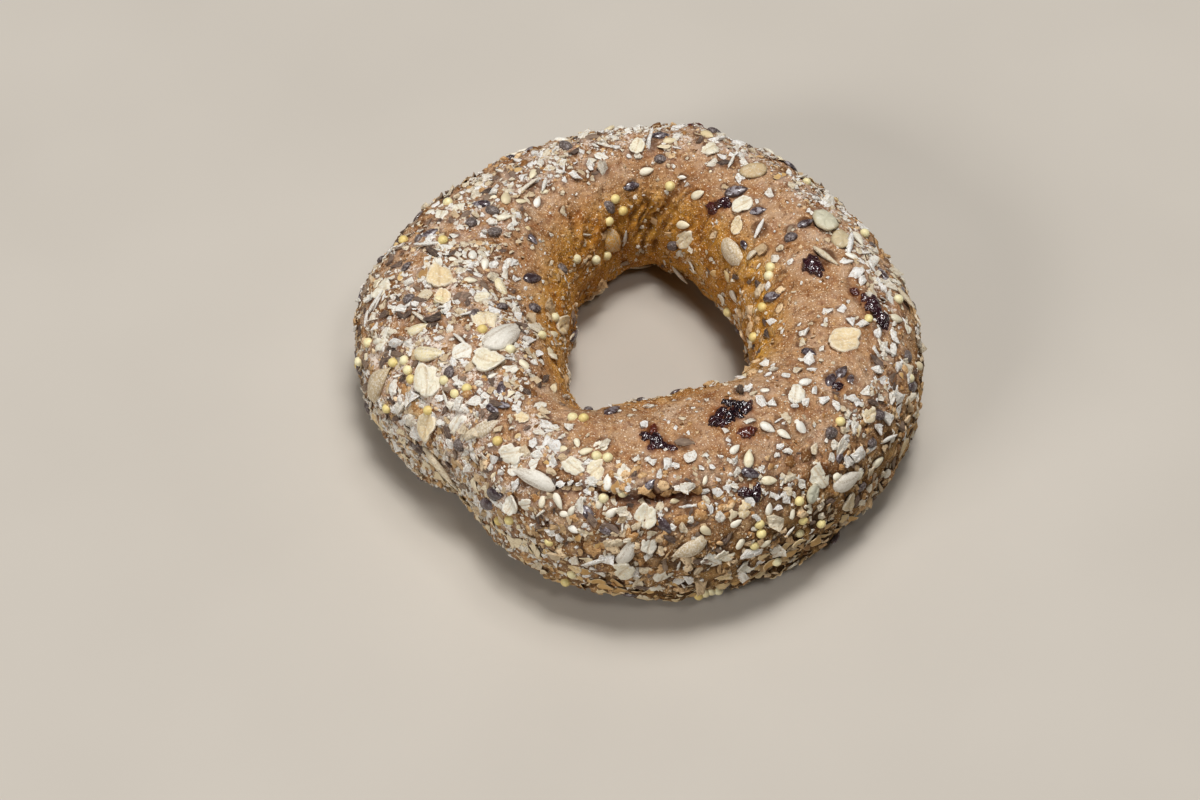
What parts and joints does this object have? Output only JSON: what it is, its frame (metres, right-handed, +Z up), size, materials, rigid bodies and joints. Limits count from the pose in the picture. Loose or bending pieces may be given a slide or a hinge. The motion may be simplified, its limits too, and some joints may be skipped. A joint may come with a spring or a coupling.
{
  "type": "bagel",
  "caption": "Ring-shaped multigrain bagel with an uneven hole, a torn shoulder and a flat base, crusted with oat flakes, grains and seeds.",
  "frame": {"origin": "on the surface it rests on, under the middle of its box", "axes": "+Z up through the hole, +Y towards the thin side of the ring, +X to the right"},
  "size_m": [0.1116, 0.1103, 0.0344],
  "materials": {
    "crust": "baked crust, fine-grained, dusted with flour",
    "oat_flake": "dry, slightly rough",
    "sunflower_kernel": "dry, finely streaked",
    "pumpkin_seed": "dry, satin",
    "millet": "smooth, satin",
    "linseed": "smooth, glossy under dust",
    "sesame": "smooth, satin",
    "dark_seed": "dull, dusted",
    "raisin": "sticky, wet gloss",
    "grain_flake": "dry, floury",
    "bran": "dry, papery"
  },
  "bodies": {
    "root": {"bagel": "crust"}
  },
  "joints": []
}
